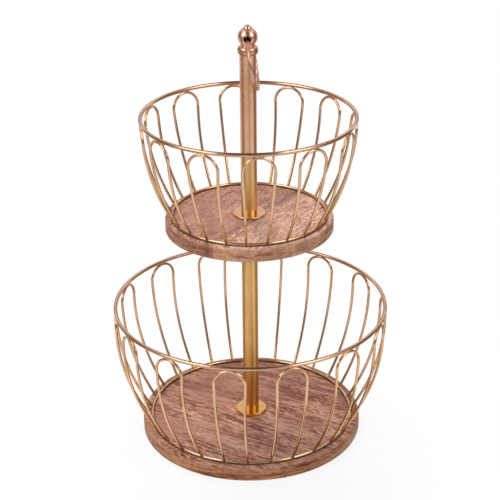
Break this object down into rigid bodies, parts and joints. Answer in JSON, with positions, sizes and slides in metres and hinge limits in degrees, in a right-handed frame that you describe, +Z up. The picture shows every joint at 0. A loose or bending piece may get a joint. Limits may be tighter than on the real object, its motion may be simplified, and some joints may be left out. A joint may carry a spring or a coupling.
{
  "type": "tiered wire basket",
  "caption": "Round two-tier wire basket on wooden boards with a central gold tube, turned finial and a loose carrying ring.",
  "frame": {"origin": "centre of the lower board's underside", "axes": "+Z up along the tube, front toward -Y"},
  "size_m": [0.3042, 0.3042, 0.472],
  "materials": {
    "lower_wood": "oiled dark brown hardwood",
    "upper_wood": "oiled pinkish brown hardwood",
    "gold_rim": "satin gold plating on steel wire",
    "gold_wire": "satin gold plating on steel wire",
    "gold_tube": "brushed gold plating on steel tube",
    "gold_turned": "polished gold plating on turned metal",
    "gold_ring": "polished gold plating on steel wire",
    "zinc_steel": "zinc plated"
  },
  "bodies": {
    "stand": {"base_screw": "zinc_steel", "base_washer": "zinc_steel", "finial": "gold_turned", "finial_stud": "zinc_steel", "lower_base_ring": "gold_wire", "lower_board": "lower_wood", "lower_flange": "gold_turned", "lower_loop_01": "gold_wire", "lower_loop_02": "gold_wire", "lower_loop_03": "gold_wire", "lower_loop_04": "gold_wire", "lower_loop_05": "gold_wire", "lower_loop_06": "gold_wire", "lower_loop_07": "gold_wire", "lower_loop_08": "gold_wire", "lower_loop_09": "gold_wire", "lower_loop_10": "gold_wire", "lower_loop_11": "gold_wire", "lower_loop_12": "gold_wire", "lower_loop_13": "gold_wire", "lower_loop_14": "gold_wire", "lower_pole": "gold_tube", "lower_pole_foot_plug": "zinc_steel", "lower_pole_head_plug": "zinc_steel", "lower_rim": "gold_rim", "lower_ring_pins": "zinc_steel", "tier_stud": "zinc_steel", "upper_base_ring": "gold_wire", "upper_board": "upper_wood", "upper_flange": "gold_turned", "upper_loop_01": "gold_wire", "upper_loop_02": "gold_wire", "upper_loop_03": "gold_wire", "upper_loop_04": "gold_wire", "upper_loop_05": "gold_wire", "upper_loop_06": "gold_wire", "upper_loop_07": "gold_wire", "upper_loop_08": "gold_wire", "upper_loop_09": "gold_wire", "upper_loop_10": "gold_wire", "upper_loop_11": "gold_wire", "upper_loop_12": "gold_wire", "upper_pole": "gold_tube", "upper_pole_foot_plug": "zinc_steel", "upper_pole_head_plug": "zinc_steel", "upper_rim": "gold_rim", "upper_ring_pins": "zinc_steel"},
    "handle": {"carry_ring": "gold_ring"}
  },
  "joints": [
    {"name": "carry_ring_swing", "type": "hinge", "parent": "stand", "child": "handle", "pos_m": [0, 0, 0.4592], "axis": [-0.0523, -0.9986, 0], "range_deg": [0, 338]}
  ]
}
